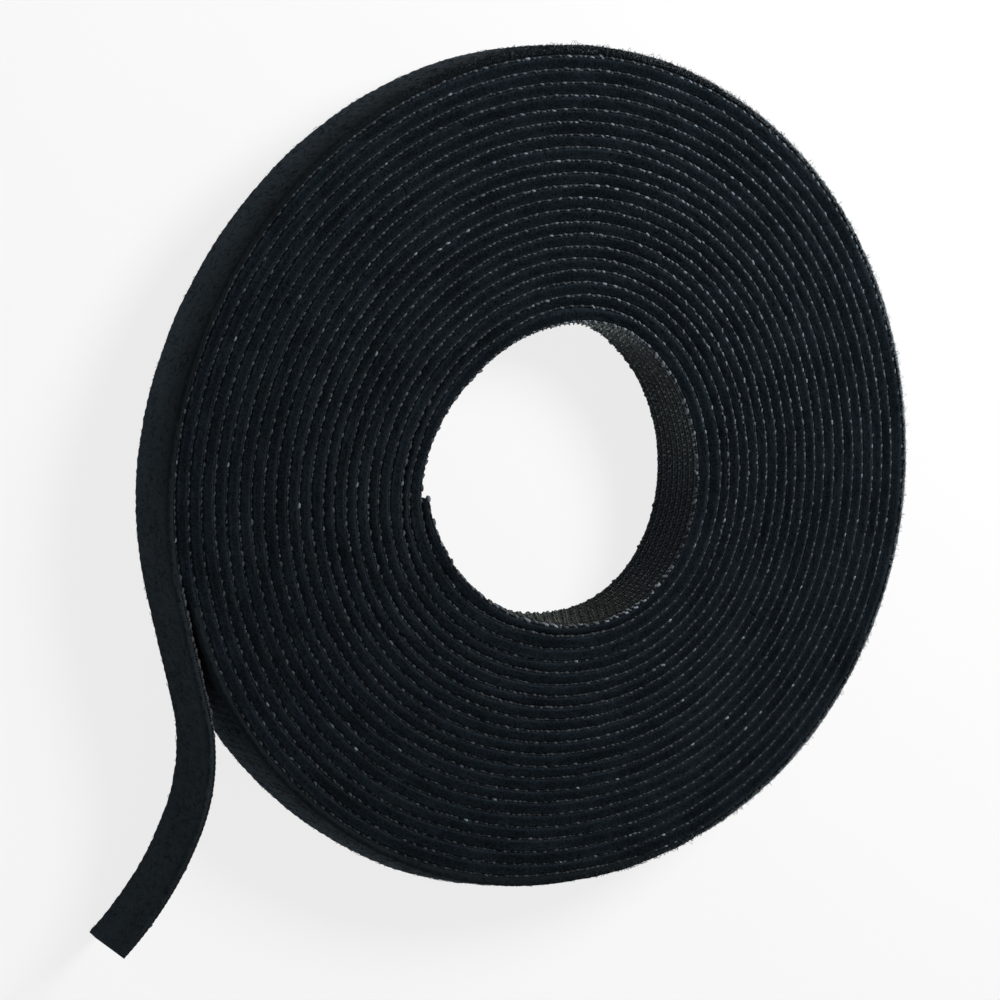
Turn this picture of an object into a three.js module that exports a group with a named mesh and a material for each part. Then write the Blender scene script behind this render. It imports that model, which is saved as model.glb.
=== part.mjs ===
// Roll of back-to-back hook and loop tape, lying on its side with its free end on edge.
// Millimetres, +Z up. The roll's own axis is Z, and the tape's width runs along Z.
// The tape is two strips bonded back to back: hooks on the inner face, loops on the outer face.
// It winds anticlockwise from its inner cut end, and peels off the last turn as a free tail.

import * as THREE from "three";

// Tape
const tapeWidth = 10;
const hookLayerThickness = 0.5;
const loopLayerThickness = 0.5;

// Winding: the turns lie closer together at the bore than at the rim
const boreRadius = 19.3;
const firstTurnClearance = 0.47;
const lastTurnClearance = 0.67;
const wholeTurns = 22;
const innerEndAngle = THREE.MathUtils.degToRad(183);
const peelAngle = THREE.MathUtils.degToRad(192.7);
const stepsPerTurn = 24;

// Every turn copies the bore's slight departure from a circle
const lobeHeight = 0.52;
const lobeCount = 3;
const lobeDirection = THREE.MathUtils.degToRad(74);
const ovalHeight = 0.23;
const ovalCount = 2;
const ovalDirection = THREE.MathUtils.degToRad(-7);

// Free tail: straight off the roll, then a bend away from it and a wider curl to the cut end
const peelGap = 0.3;
const tailStraightLength = 13.6;
const tailBendRadius = 23.1;
const tailBendAngle = THREE.MathUtils.degToRad(36);
const tailCurlRadius = 40.4;
const tailCurlLength = 17.7;
const tailStep = 2.1;

// Least clearance that the winding keeps to itself
const leastAllowedGap = 0.4;

const hookMaterial = new THREE.MeshStandardMaterial({
  name: "hook_side",
  color: 0x24272b,
  roughness: 0.72,
  metalness: 0,
});
const loopMaterial = new THREE.MeshStandardMaterial({
  name: "loop_side",
  color: 0x15181c,
  roughness: 0.95,
  metalness: 0,
});

const fullTurn = 2 * Math.PI;
const totalSweep = wholeTurns * fullTurn + peelAngle - innerEndAngle;
const totalTurns = totalSweep / fullTurn;

// Radius of the bond between the two strips, after a number of turns from the inner end
function bondRadius(turns) {
  const tapeThickness = hookLayerThickness + loopLayerThickness;
  const firstPitch = tapeThickness + firstTurnClearance;
  const lastPitch = tapeThickness + lastTurnClearance;
  const growth = (lastPitch - firstPitch) / (2 * totalTurns);
  const angle = innerEndAngle + turns * fullTurn;
  const lobes = lobeHeight * Math.cos(lobeCount * (angle - lobeDirection));
  const oval = ovalHeight * Math.cos(ovalCount * (angle - ovalDirection));
  return boreRadius + hookLayerThickness + firstPitch * turns + growth * turns * turns + lobes + oval;
}

function polar(radius, angle) {
  return new THREE.Vector2(radius * Math.cos(angle), radius * Math.sin(angle));
}

// A station is one cut across the tape: where its bond lies, and which way its loop face looks
function coilStations() {
  const stepAngle = fullTurn / stepsPerTurn;
  const steps = Math.ceil(totalSweep / stepAngle);
  const stations = [];
  for (let i = 0; i <= steps; i += 1) {
    const swept = Math.min(i * stepAngle, totalSweep);
    const angle = innerEndAngle + swept;
    stations.push({
      bond: polar(bondRadius(swept / fullTurn), angle),
      outward: polar(1, angle),
    });
  }
  return stations;
}

// Direction of travel where the tape leaves the roll
function peelHeading() {
  const lookBack = 1 / stepsPerTurn;
  const before = polar(bondRadius(totalTurns - lookBack), peelAngle - lookBack * fullTurn);
  const after = polar(bondRadius(totalTurns + lookBack), peelAngle + lookBack * fullTurn);
  return after.sub(before).angle();
}

// Heading along the tail, turning away from the roll in the bend and then in the curl
function tailHeading(distance) {
  const bendLength = tailBendRadius * tailBendAngle;
  const inBend = THREE.MathUtils.clamp(distance - tailStraightLength, 0, bendLength);
  const inCurl = Math.max(0, distance - tailStraightLength - bendLength);
  return peelHeading() - inBend / tailBendRadius - inCurl / tailCurlRadius;
}

function tailStations() {
  const length = tailStraightLength + tailBendRadius * tailBendAngle + tailCurlLength;
  const steps = Math.ceil((length - peelGap) / tailStep);
  const step = (length - peelGap) / steps;
  const root = polar(bondRadius(totalTurns), peelAngle);
  const bond = root.add(polar(peelGap, tailHeading(0)));
  const stations = [];
  for (let i = 0; i <= steps; i += 1) {
    const distance = peelGap + i * step;
    stations.push({
      bond: bond.clone(),
      outward: polar(1, tailHeading(distance) - fullTurn / 4),
    });
    bond.add(polar(step, tailHeading(distance + step / 2)));
  }
  return stations;
}

// Corner lines of a strip that lies between two distances from the bond, at every station
function stripLine(stations, distance) {
  return stations.map((station) => station.bond.clone().addScaledVector(station.outward, distance));
}

// Closed strip standing on edge, from the resting surface up to the tape's width
function stripGeometry(stations, innerDistance, outerDistance) {
  const inner = stripLine(stations, innerDistance);
  const outer = stripLine(stations, outerDistance);
  const positions = [];
  for (let i = 0; i < stations.length; i += 1) {
    positions.push(inner[i].x, inner[i].y, 0);
    positions.push(outer[i].x, outer[i].y, 0);
    positions.push(outer[i].x, outer[i].y, tapeWidth);
    positions.push(inner[i].x, inner[i].y, tapeWidth);
  }
  const corners = 4;
  const indices = [];
  for (let i = 0; i + 1 < stations.length; i += 1) {
    for (let side = 0; side < corners; side += 1) {
      const a = i * corners + side;
      const b = i * corners + ((side + 1) % corners);
      indices.push(a, b + corners, b);
      indices.push(a, a + corners, b + corners);
    }
  }
  const last = (stations.length - 1) * corners;
  indices.push(0, 1, 2);
  indices.push(0, 2, 3);
  indices.push(last, last + 2, last + 1);
  indices.push(last, last + 3, last + 2);
  const geometry = new THREE.BufferGeometry();
  geometry.setAttribute("position", new THREE.Float32BufferAttribute(positions, 3));
  geometry.setIndex(indices);
  geometry.computeVertexNormals();
  return geometry;
}

function hookLayer(name, stations) {
  const mesh = new THREE.Mesh(stripGeometry(stations, -hookLayerThickness, 0), hookMaterial);
  mesh.name = name;
  return mesh;
}

function loopLayer(name, stations) {
  const mesh = new THREE.Mesh(stripGeometry(stations, 0, loopLayerThickness), loopMaterial);
  mesh.name = name;
  return mesh;
}

// Distance from a point to the stretch between two other points
function distanceToStretch(point, start, end) {
  const along = end.clone().sub(start);
  const share = THREE.MathUtils.clamp(point.clone().sub(start).dot(along) / along.lengthSq(), 0, 1);
  return point.distanceTo(start.clone().addScaledVector(along, share));
}

// Least gap between the loop face of a turn and the hook face of the turn wound over it
function leastTurnGap(stations) {
  const loopFace = stripLine(stations, loopLayerThickness);
  const hookFace = stripLine(stations, -hookLayerThickness);
  let least = Infinity;
  for (let i = 0; i + stepsPerTurn + 1 < stations.length; i += 1) {
    const middle = loopFace[i].clone().lerp(loopFace[i + 1], 0.5);
    for (const point of [loopFace[i], middle]) {
      for (let j = Math.max(0, i + stepsPerTurn - 2); j <= i + stepsPerTurn; j += 1) {
        least = Math.min(least, distanceToStretch(point, hookFace[j], hookFace[j + 1]));
      }
    }
  }
  return least;
}

function buildRoll() {
  const coil = coilStations();
  const tail = tailStations();
  const gap = leastTurnGap(coil);
  const verdict = gap > leastAllowedGap ? "clear" : "too tight";
  console.log(`least gap between turns ${gap.toFixed(3)} mm, ${verdict}`);

  const woundPart = new THREE.Group();
  woundPart.add(hookLayer("coil_hook_layer", coil));
  woundPart.add(loopLayer("coil_loop_layer", coil));

  const freePart = new THREE.Group();
  freePart.add(hookLayer("tail_hook_layer", tail));
  freePart.add(loopLayer("tail_loop_layer", tail));

  const roll = new THREE.Group();
  roll.add(woundPart);
  roll.add(freePart);

  // The origin is the middle of the roll's outline, on the surface that it rests on
  const box = new THREE.Box3().setFromObject(roll);
  const middle = box.getCenter(new THREE.Vector3());
  roll.position.set(-middle.x, -middle.y, -box.min.z);
  return roll;
}

export default buildRoll();
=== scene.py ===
"""Roll of back-to-back hook and loop tape, lying on its side with its free end standing on edge.

The tape is followed once, from its inner cut end through the wound turns to the end of the free tail.
A place on it is (along, out, up): the way along the tape, the distance from the bond between its two strips
towards the loop side, and the height over the resting surface. Everything is made there and then wound.
Turns are counted from the tape's inner end, and directions in degrees round the roll's axis.
"""
import math

import bpy
import numpy as np
from mathutils import Matrix, Vector


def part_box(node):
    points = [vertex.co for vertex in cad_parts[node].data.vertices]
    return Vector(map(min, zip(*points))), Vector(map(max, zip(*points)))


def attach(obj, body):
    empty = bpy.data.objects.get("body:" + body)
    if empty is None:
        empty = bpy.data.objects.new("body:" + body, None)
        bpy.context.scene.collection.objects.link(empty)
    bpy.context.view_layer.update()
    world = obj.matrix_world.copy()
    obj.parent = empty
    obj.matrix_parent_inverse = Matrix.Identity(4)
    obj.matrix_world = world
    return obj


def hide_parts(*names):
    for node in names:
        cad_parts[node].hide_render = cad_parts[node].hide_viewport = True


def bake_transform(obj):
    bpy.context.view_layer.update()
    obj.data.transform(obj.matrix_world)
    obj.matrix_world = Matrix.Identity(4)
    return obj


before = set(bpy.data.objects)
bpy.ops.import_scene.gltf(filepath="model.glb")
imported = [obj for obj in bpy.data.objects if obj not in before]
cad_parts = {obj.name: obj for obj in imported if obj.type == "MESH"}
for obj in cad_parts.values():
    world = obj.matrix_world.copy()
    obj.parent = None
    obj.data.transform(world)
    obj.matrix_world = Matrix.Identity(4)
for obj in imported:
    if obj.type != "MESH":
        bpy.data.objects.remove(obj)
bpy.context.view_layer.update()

MM = 0.001
FULL_TURN = 2 * math.pi

# Tape, as in the CAD
TAPE_WIDTH = 10 * MM
LAYER_THICKNESS = 0.5 * MM

# Winding, as in the CAD
BORE_RADIUS = 19.3 * MM
FIRST_PITCH = 1.47 * MM
LAST_PITCH = 1.67 * MM
INNER_END_ANGLE = math.radians(183)
PEEL_ANGLE = math.radians(192.7)
WHOLE_TURNS = 22
CAD_STEPS_PER_TURN = 24
LOBE_HEIGHT = 0.52 * MM
LOBE_COUNT = 3
LOBE_DIRECTION = math.radians(74)
OVAL_HEIGHT = 0.23 * MM
OVAL_COUNT = 2
OVAL_DIRECTION = math.radians(-7)
TOTAL_TURNS = WHOLE_TURNS + (PEEL_ANGLE - INNER_END_ANGLE) / FULL_TURN

# Free tail, as in the CAD
TAIL_STRAIGHT = 13.6 * MM
TAIL_BEND_RADIUS = 23.1 * MM
TAIL_BEND_ANGLE = math.radians(36)
TAIL_CURL_RADIUS = 40.4 * MM
TAIL_CURL_LENGTH = 17.7 * MM

# How closely the bond is followed
COIL_POINTS = 120000
TAIL_STEP = 0.05 * MM

# The innermost turns and the outermost one are slack: (turns, outward shift in mm)
SLACK = (
    (0, 0.3), (0.03, -0.1), (0.05, -0.45), (0.12, -0.45), (0.2, -0.15), (0.32, -0.12), (0.4, -0.55),
    (0.52, -0.5), (0.58, -0.65), (0.63, -0.6), (0.67, -0.3), (0.76, -0.6), (0.82, -0.35), (0.9, -0.25),
    (0.97, -0.05), (1.0, 0), (1.08, -0.35), (1.5, -0.3), (1.62, -0.34), (1.69, -0.17), (1.75, -0.07),
    (1.8, -0.18), (1.86, 0), (1.95, -0.05), (2.02, 0.25), (2.07, -0.2), (2.3, -0.12), (2.38, 0.08),
    (2.7, -0.05), (2.76, -0.28), (2.95, -0.25), (3.03, -0.05), (3.3, 0), (20.8, 0), (21.1, 0.1),
    (21.18, 0.08), (21.24, -0.15), (21.29, 0.05), (21.36, 0.12), (21.47, 0.22), (21.6, 0.2), (21.72, 0),
    (21.8, 0.05), (21.9, 0.12), (22.03, 0.15),
)

# Dents and bulges of the coil: (direction, half width in degrees, mm at the bore, mm at the rim)
DENTS = (
    (45, 35, 0.2, 0),
    (65, 22, 0, -0.26),
    (130, 30, -0.2, 0.04),
    (190, 14, 0.05, -0.17),
    (240, 14, 0, 0.15),
    (276, 10, 0, -0.2),
    (345, 20, -0.12, 0.1),
)

# Wobble of hand winding: height in mm, and a cell's length in turns
WOBBLE_HEIGHT = 0.05
WOBBLE_CELL = (0.12, 1)
FINE_WOBBLE_HEIGHT = 0.03
FINE_WOBBLE_CELL = (0.035, 1)

# Past the peel line, the last turn stands out at its lower edge: (direction, mm)
SPLAY = (
    (196, 0), (205, 0.4), (214, 0.85), (225, 0.95), (235, 1.2), (246, 1.8), (256, 2.1), (263, 1.8),
    (272, 0.8), (284, 0),
)

# Section of the tape: two woven grounds back to back, hooks inside and loop pile outside
HOOK_GROUND = 0.24 * MM
LOOP_GROUND = 0.24 * MM
LOWER_INSET = 0.3 * MM
UPPER_INSET = 0.05 * MM
GROUND_ROUND_OFF = 0.07 * MM

# Pile: free on the last turn and the tail, else pressed against the next turn's ground
FREE_PILE = 0.92 * MM
PRESSED_PILE_CLEARANCE = 0.05 * MM
LOOSENING_LENGTH = 6 * MM

# How much thicker the last turn's free pile is than FREE_PILE: (direction, mm)
PILE_SWELL = (
    (0, -0.62), (15, -0.52), (50, -0.36), (62, -0.12), (70, 0.13), (90, 0.3), (112, 0.03), (150, -0.26),
    (175, 0), (192, 0.1), (215, -0.05), (240, 0.05), (260, 0.3), (278, 0.2), (290, -0.35), (320, -0.53),
    (340, -0.62), (360, -0.62),
)

# Pile's long edges: share of the way from its ground to its face, and mm inside the tape's edge
UPPER_PILE_EDGE = (
    (0, -0.02), (0.05, -0.06), (0.18, -0.12), (0.4, -0.17), (0.65, -0.21), (0.87, -0.2), (1, -0.08),
)
LOWER_PILE_EDGE = ((0, 0.2), (0.05, 0.1), (0.2, 0.08), (0.4, 0.08), (0.65, 0.1), (0.85, 0.2), (1, 0.42))
FOOT_OUT = 0.02 * MM
HEAD_OUT = 0.03 * MM
HEAD_INSET = 0.02 * MM
FACE_MARGIN = 0.7 * MM

# Cells of the lumps that its relief is made of, along the tape and up it
COARSE_CELL = (1.2 * MM, 5 * MM)
BROAD_CELL = (5 * MM, 3 * MM)
FINE_CELL = (0.5 * MM, 0.9 * MM)
EDGE_CELL = (0.9 * MM, 0.4 * MM)

# Crosswise ridges that wander by this angle, broad swells and fine lumps on the pile's face, in mm
RIDGE_PITCH = 1.2 * MM
RIDGE_WANDER = 1.5
RIDGE_HEIGHT = 0.03
BROAD_SWELL = 0.05
FINE_SWELL = 0.05

# Ragged long edges, in mm
RAGGED_HEIGHT = 0.08
FINE_RAGGED_HEIGHT = 0.05
RAGGED_SINK = 0.02
RAGGED_OFFSET = 9 * MM

# This relief is full near the free pile's depth, and a share of it is left where the pile is pressed
RELIEF_NEAR_SHARE = 1.2
RELIEF_FADE = 0.4 * MM
PRESSED_RELIEF_SHARE = 0.15

# A free pile rounds off over its upper edge
EDGE_ROUND_OFF = 0.4 * MM
EDGE_BAND = 0.2 * MM
LEAST_HEIGHT = 0.02 * MM

# Hooks stand in columns along the tape, and ribs and bars of the ground run between them
HOOK_ROW_PITCH = 0.69 * MM
HOOK_COLUMN_PITCH = 1.28 * MM
HOOK_COLUMNS = 7
WARP_PITCH = HOOK_COLUMN_PITCH / 2
WEFT_PITCH = HOOK_ROW_PITCH / 2
HOOK_MARGINS = (0.5 * MM, 0.3 * MM)

# One hook: a stem from its root, bent over in a crook
HOOK_RADIUS = 0.095 * MM
HOOK_ROOT = 0.05 * MM
HOOK_STEM = 0.2 * MM
HOOK_STEM_SHARE = 0.6
HOOK_CROOK = 0.15 * MM
HOOK_CROOK_DEGREES = 200
HOOK_CROOK_POINTS = 6
HOOK_SIDES = 5
HOOK_TURN = math.radians(35)
HOOK_TURN_SPREAD = 0.2
HOOK_SCATTER = 0.04 * MM
HOOK_REACH_SHARES = (0.88, 1.06)
HOOK_TIP_SHARE = 0.6

# Weave of the hook side's ground
WEAVE_POINTS = 74
RIB_HEIGHT = 0.08 * MM
WEFT_HEIGHT_SHARE = 0.6

# Weft picks that stand out of that ground, between every two rows of hooks
BAR_PITCH = 2 * HOOK_ROW_PITCH
BAR_RADIUS = 0.075 * MM
BAR_MARGIN = 0.5 * MM
BAR_SCATTER = 0.02 * MM
BAR_WAVE = 0.03 * MM
BAR_POINTS = 29
BAR_SIDES = 5

# Painted light and shade on the hook side round the bore: (turns, share of the full tone)
HOOK_LIGHT_SHARES = (
    (0, 0.28), (0.24, 0.25), (0.27, 0.18), (0.3, 0.165), (0.325, 0.24), (0.353, 0.27), (0.38, 0.24),
    (0.41, 0.22), (0.436, 0.24), (0.464, 0.29), (0.49, 0.42), (0.52, 0.5), (0.55, 0.48), (0.575, 0.43),
    (0.62, 0.42), (0.66, 1.0), (0.7, 1.0), (0.74, 0.7), (0.8, 0.3), (0.9, 0.3), (1, 0.5),
)

# Share of that painted light at the lower edge and at the upper edge: the lower edge is lighter by painted
# bounce light from the floor
HOOK_EDGE_LIGHT_SHARES = (1.35, 0.75)

# Cast of the hook side round the bore: (turns, gain of red, gain of blue)
HOOK_CASTS = (
    (0, 0.9, 1.0), (0.24, 0.88, 0.92), (0.33, 0.84, 0.98), (0.37, 0.86, 1.22), (0.41, 0.86, 1.32),
    (0.46, 0.82, 1.26), (0.5, 0.88, 1.06), (0.62, 0.88, 1.06), (0.7, 0.93, 1.04), (1, 1.0, 1.0),
)

# Its contrast where that painted light is least and where it is full
HOOK_CONTRASTS = (0.3, 4.5)

# Edge yarn: turns of weft over both long edges, every other one larger: (larger, smaller)
PICK_PITCH = 0.775 * MM
YARN_OUT = -0.12 * MM
YARN_LENGTHS = (0.6 * MM, 0.52 * MM)
YARN_LENGTH_SHARES = (0.7, 1.25)
YARN_RADII = (0.2 * MM, 0.17 * MM)
YARN_RADIUS_SHARES = (0.8, 1.15)
YARN_HEIGHTS = (0.1 * MM, 0)
YARN_DROP = 0.26 * MM
YARN_SWING_DEGREES = 105
YARN_SLANT = 0.12
YARN_SCATTER = (0.09 * MM, 0.06 * MM, 0.03 * MM)
YARN_LOWER_RISE = 0.2 * MM

# Thicker yarn lies further inward, by this for a whole share of its size
YARN_SIZE_SHIFT = 0.25 * MM

# Length of a turn past the coil's last whole one
RIM_TURN_LENGTH = 340 * MM

# Size of the edge yarn: (direction, share of the usual radius)
YARN_SIZE_SHARES = ((0, 1.08), (95, 1.05), (130, 1.25), (250, 1.25), (285, 1.0), (360, 1.08))

# It sinks into the pile where the tape is slack: (turns, mm)
YARN_SINK = (
    (0, 0), (21.25, 0), (21.32, 0.12), (21.45, 0.12), (21.55, 0), (22.072, 0), (22.092, 0.4), (22.2, 0.4),
)

# Painted light and shade on it round the roll, lighter on the side that faces the key lamp: (direction,
# share of the larger turns' full tone)
YARN_LIGHT_SHARES = (
    (0, 0.54), (25, 0.92), (60, 0.95), (90, 0.54), (120, 0.22), (180, 0.18), (210, 0.25), (270, 0.19),
    (330, 0.26), (360, 0.54),
)

# The same painted light and shade round the bore: (turns, share)
BORE_YARN_LIGHT_SHARES = (
    (0, 0.4), (0.24, 0.9), (0.28, 2.1), (0.33, 2.2), (0.37, 0.9), (0.41, 0.2), (0.45, 0.32), (0.49, 0.6),
    (0.53, 1.4), (0.575, 1.15), (0.617, 2.5), (0.66, 1.6), (0.7, 1.2), (0.78, 0.8), (1, 0.3),
)

# Gain of that painted light on the last turn: (turns, gain)
LAST_YARN_LIGHT_GAINS = ((21.2, 1.0), (21.3, 1.6), (21.68, 1.6), (21.78, 1.0))

# Its tones: larger and smaller turns, how uneven they are, and the few with a painted glint
YARN_TONES = (0.5, 0.34)
SMALL_YARN_POWER = 0.6
YARN_TONE_PATCH = 0.35
YARN_TONE_SPREAD = 0.46
PAINTED_GLINT_SHARE = 0.02
PAINTED_GLINT_TONE = 1.4
MOST_YARN_TONE = 1.5

# Filament loops, with the least and the most of what is drawn by chance
LOOP_ARC = 1.15 * math.pi
LOOP_POINTS = 5
LOOP_SIDES = 3
LOOP_DEPTH = 0.07 * MM
FACE_LOOP_RADIUS = 0.026 * MM
FACE_LOOP_MARGIN = 0.4 * MM
TAIL_LOOP_MARGINS = (0.5 * MM, 0.4 * MM)
FACE_LOOP_DEPTH = 0.04 * MM
FACE_LOOP_WIDTHS = (0.4 * MM, 1.2 * MM)
FACE_LOOP_RISES = (0.03 * MM, 0.2 * MM)
FACE_LOOP_TONES = (0.3, 1.4)
FACE_LOOP_SPREAD = 0.5
EDGE_LOOP_RADIUS = 0.024 * MM
EDGE_LOOP_SHARES = (0.05, 0.95)
EDGE_LOOP_WIDTHS = (0.15 * MM, 0.5 * MM)
EDGE_LOOP_RISES = (0.02 * MM, 0.14 * MM)
EDGE_LOOP_TONES = (0.3, 1.6)

# Fluff on the last turn's rim, where loops that tilt outward stand out furthest
FLUFF_RADIUS = 0.024 * MM
FLUFF_CROWDING = (1.6, 1.6)
FLUFF_DEPTH_CROWDING = (1.5, 1.0)
FLUFF_TILTS = (-0.1, 1.0)
FLUFF_OUTWARD_TILT = 0.45
FLUFF_DEPTH = 0.05 * MM
FLUFF_DROP = 1.2 * MM
FLUFF_WIDTHS = (0.25 * MM, 0.9 * MM)
FLUFF_OUTWARD_RISE = 0.05 * MM
FLUFF_OUTWARD_SPREAD = 0.22 * MM
FLUFF_MOST_RISE = 0.75 * MM
FLUFF_UPWARD_RISES = (0.03 * MM, 0.2 * MM)
FLUFF_TONES = (0.6, 1.5)

# It thins out at both ends, and painted glare on it is brightest where the rim catches the light; the table
# also bounds its stretch: (turns, tone)
FLUFF_STRETCH_AND_GLARE = (
    (21.22, 0.2), (21.28, 0.5), (21.33, 0.9), (21.45, 1.4), (21.55, 1.4), (21.6, 1.1), (21.65, 0.7),
    (21.75, 0.5), (21.82, 0.2),
)

# Linear colours: (dark, light)
YARN_COLOURS = ((0.006, 0.008, 0.01), (0.165, 0.195, 0.23))
# Hook and weave colours are scaled by the light and shade painted on the hook side round the bore
HOOK_COLOURS = ((0.09, 0.1, 0.095), (0.74, 0.79, 0.72))
WEAVE_COLOURS = ((0.007, 0.0085, 0.0095), (0.175, 0.19, 0.19))
GROUND_EDGE_COLOURS = ((0.01, 0.0125, 0.015), (0.028, 0.034, 0.04))
PILE_COLOURS = ((0.0018, 0.003, 0.0042), (0.0064, 0.0095, 0.0125))
FILAMENT_COLOURS = ((0.0018, 0.003, 0.0042), (0.018, 0.026, 0.033))
WALL_COLOURS = ((0.0025, 0.0035, 0.0044), (0.0062, 0.0082, 0.01))
# The fluff's light colour is painted glare on the rim's loops
FLUFF_AND_GLARE_COLOURS = ((0.014, 0.0195, 0.0235), (0.4, 0.47, 0.51))

# Depth of each material's fine relief
YARN_RELIEF = 0.03 * MM
HOOK_RELIEF = 0.01 * MM
WEAVE_RELIEF = 0.1 * MM
PILE_RELIEF = 0.1 * MM

# Where its mottling is dark and where it is light
PILE_CONTRAST = (0.33, 0.66)
WALL_CONTRAST = (0.1, 0.9)
FLUFF_CONTRAST = (0.2, 1.0)

# How much lighter the pile is at its upper edge and at its lower edge, the lower edge lighter by painted
# bounce light from the floor
COIL_LIGHTNESS_AND_BOUNCE = (1.1, 7.0)
LAST_TURN_LIGHTNESS_AND_BOUNCE = (1.5, 6.6)
TAIL_LIGHTNESS_AND_BOUNCE = (3.2, 4.5)
FILAMENT_LIGHTNESS_AND_BOUNCE = (1.0, 3.0)
EVEN_LIGHTNESS = (1.0, 1.0)

# A pressed pile has painted light towards its borders, lifting the shade beside the edge yarn, by this gain
# at half its depth from its middle
PILE_MIDDLE = 0.68 * MM
PILE_HALF_DEPTH = 0.5 * MM
BORDER_LIGHT_GAIN = 1.9

# The last turn has painted light at its start, lifting the shade beside the tail, and its lightness becomes
# the tail's at its end
LAST_TURN_LIGHT_GAIN = 1.5
LAST_TURN_FADE = 95 * MM
SETTLE_LENGTH = 26 * MM

# Steps along the tape
BORE_STEP = 0.13 * MM
GROUND_STEP = 0.8 * MM
WOUND_PILE_STEP = 0.4 * MM
LAST_PILE_STEP = 0.2 * MM
TAIL_PILE_STEP = 0.16 * MM

# Points up the outer face of a pressed pile and of a free one
PRESSED_FACE_POINTS = 3
FREE_FACE_POINTS = 36

# Light, in metres and watts: (name, place, width, power)
WORLD_LIGHT = 0.14
LAMPS = (
    ("key", (0.205, 0.16, 0.203), 0.14, 1.36),
    ("fill", (-0.503, 0.29, 0.104), 0.25, 0.85),
    ("low_fill", (-0.08, -0.575, 0.104), 0.25, 0.85),
)
FLOOR_HALF = 3.0
FLOOR_TONE = 0.8
FLOOR_ROUGHNESS = 0.9
FLOOR_GLOW_SHARE = 0.8

# Camera, found from the photograph's outlines and edge lines, in the roll's own frame
CAMERA_LENS = 97.2
CAMERA_SENSOR = 36.0
CAMERA_NEAR = 0.01
CAMERA_PITCH = 0.14644
CAMERA_YAW = 0.51476
CAMERA_OFFSET = (4.0913 * MM, -3.9164 * MM, 356.065 * MM)
CAMERA_SHIFT = (-0.09 * MM, 0.04 * MM)


# Path of the tape

def read(table, at):
    """Value of a table of (place, value) rows at a place, straight between its rows."""
    return np.interp(at, *zip(*table))


def bond_radius(turns):
    """Radius of the bond between the two strips, after a number of turns."""
    growth = (LAST_PITCH - FIRST_PITCH) / (2 * TOTAL_TURNS)
    angle = INNER_END_ANGLE + turns * FULL_TURN
    lobes = LOBE_HEIGHT * np.cos(LOBE_COUNT * (angle - LOBE_DIRECTION))
    oval = OVAL_HEIGHT * np.cos(OVAL_COUNT * (angle - OVAL_DIRECTION))
    return BORE_RADIUS + LAYER_THICKNESS + FIRST_PITCH * turns + growth * turns**2 + lobes + oval


def roll_axis():
    """Where the CAD put the roll's axis: its outermost turn gives the coil's highest x and y."""
    steps = np.arange(math.floor(TOTAL_TURNS * CAD_STEPS_PER_TURN) + 1) / CAD_STEPS_PER_TURN
    angle = INNER_END_ANGLE + steps * FULL_TURN
    radius = bond_radius(steps) + LAYER_THICKNESS
    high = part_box("coil_loop_layer")[1]
    return np.array([high.x - (radius * np.cos(angle)).max(), high.y - (radius * np.sin(angle)).max()])


class Lumps:
    """Smooth seeded unevenness over (along, up), from -1 to 1, with one bump to a cell."""

    ROWS, COLUMNS = 8192, 64
    FIRST_ROW, FIRST_COLUMN = 40, 4

    def __init__(self, seed, cell):
        self.table = np.random.default_rng(seed).uniform(-1, 1, (self.ROWS, self.COLUMNS))
        self.cell = cell

    def __call__(self, along, up):
        a = along / self.cell[0] + self.FIRST_ROW
        b = up / self.cell[1] + self.FIRST_COLUMN
        i, j = np.floor(a).astype(int), np.floor(b).astype(int)
        u, v = a - i, b - j
        u, v = u * u * (3 - 2 * u), v * v * (3 - 2 * v)
        low = self.value(i, j) * (1 - u) + self.value(i + 1, j) * u
        high = self.value(i, j + 1) * (1 - u) + self.value(i + 1, j + 1) * u
        return low * (1 - v) + high * v

    def value(self, row, column):
        return self.table[row % self.ROWS, column % self.COLUMNS]


wobble = Lumps(5, WOBBLE_CELL)
fine_wobble = Lumps(6, FINE_WOBBLE_CELL)
coarse_lumps = Lumps(21, COARSE_CELL)
broad_lumps = Lumps(22, BROAD_CELL)
fine_lumps = Lumps(23, FINE_CELL)
edge_lumps = Lumps(24, EDGE_CELL)


def laid_radius(turns):
    """The bond's radius with what hand winding adds: slack turns, dents and a slight wobble."""
    angle = INNER_END_ANGLE + turns * FULL_TURN
    outward = turns / TOTAL_TURNS
    shift = read(SLACK, turns)
    for centre, half_width, at_bore, at_rim in DENTS:
        away = (np.degrees(angle) - centre + 180) % 360 - 180
        shift = shift + (at_bore + (at_rim - at_bore) * outward) * np.exp(-((away / half_width) ** 2))
    shift = shift + WOBBLE_HEIGHT * wobble(turns, 0) + FINE_WOBBLE_HEIGHT * fine_wobble(turns, 0)
    return bond_radius(turns) + shift * MM


def direction(turns):
    """Direction round the roll's axis, after a number of turns."""
    return np.degrees(INNER_END_ANGLE + turns * FULL_TURN) % 360


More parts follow.
